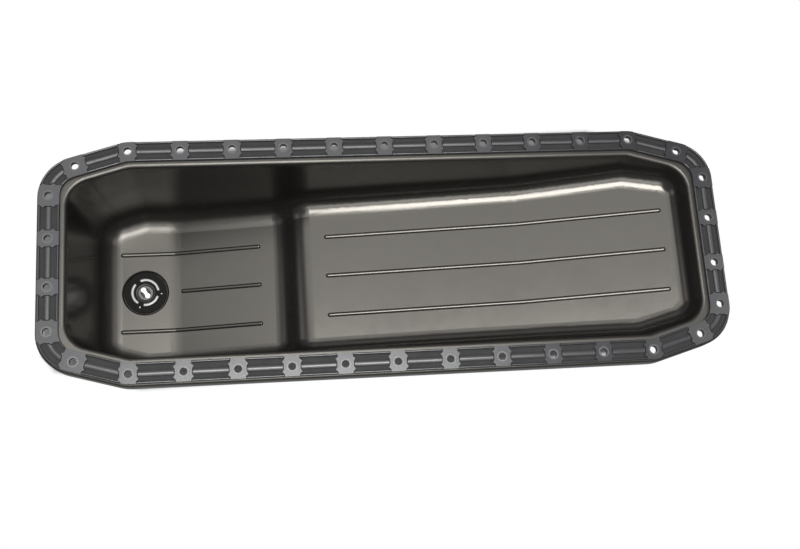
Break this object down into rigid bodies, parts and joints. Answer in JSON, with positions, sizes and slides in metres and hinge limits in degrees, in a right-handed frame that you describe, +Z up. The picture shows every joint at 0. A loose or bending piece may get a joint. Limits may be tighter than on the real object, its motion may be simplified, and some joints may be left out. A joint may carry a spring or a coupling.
{
  "type": "engine oil pan",
  "caption": "Long pressed-steel engine oil pan with a deep sump at one end, a stepped ribbed floor, a ribbed flange gasket and a magnetic drain plug.",
  "frame": {"origin": "centre of the bolt pattern on the gasket's top face, where the engine block seats", "axes": "+Z up towards the engine block, +X along the pan towards its shallow end, +Y across it"},
  "size_m": [1.005, 0.3604, 0.2335],
  "materials": {
    "pan_paint": "semi-gloss",
    "gasket_rubber": "satin",
    "limiter_steel": "satin",
    "boss_steel": "semi-gloss",
    "plug_steel": "satin",
    "washer_copper": "satin",
    "magnet_nickel": "polished"
  },
  "bodies": {
    "pan": {"oil_pan": "pan_paint", "pan_gasket": "gasket_rubber", "gasket_limiters": "limiter_steel", "drain_boss": "boss_steel"},
    "plug": {"drain_plug": "plug_steel", "plug_washer": "washer_copper", "plug_magnet": "magnet_nickel"}
  },
  "joints": [
    {"name": "plug_unscrew", "type": "slide", "parent": "pan", "child": "plug", "axis": [0, 0, -1], "range_m": [0, 0.04]}
  ]
}
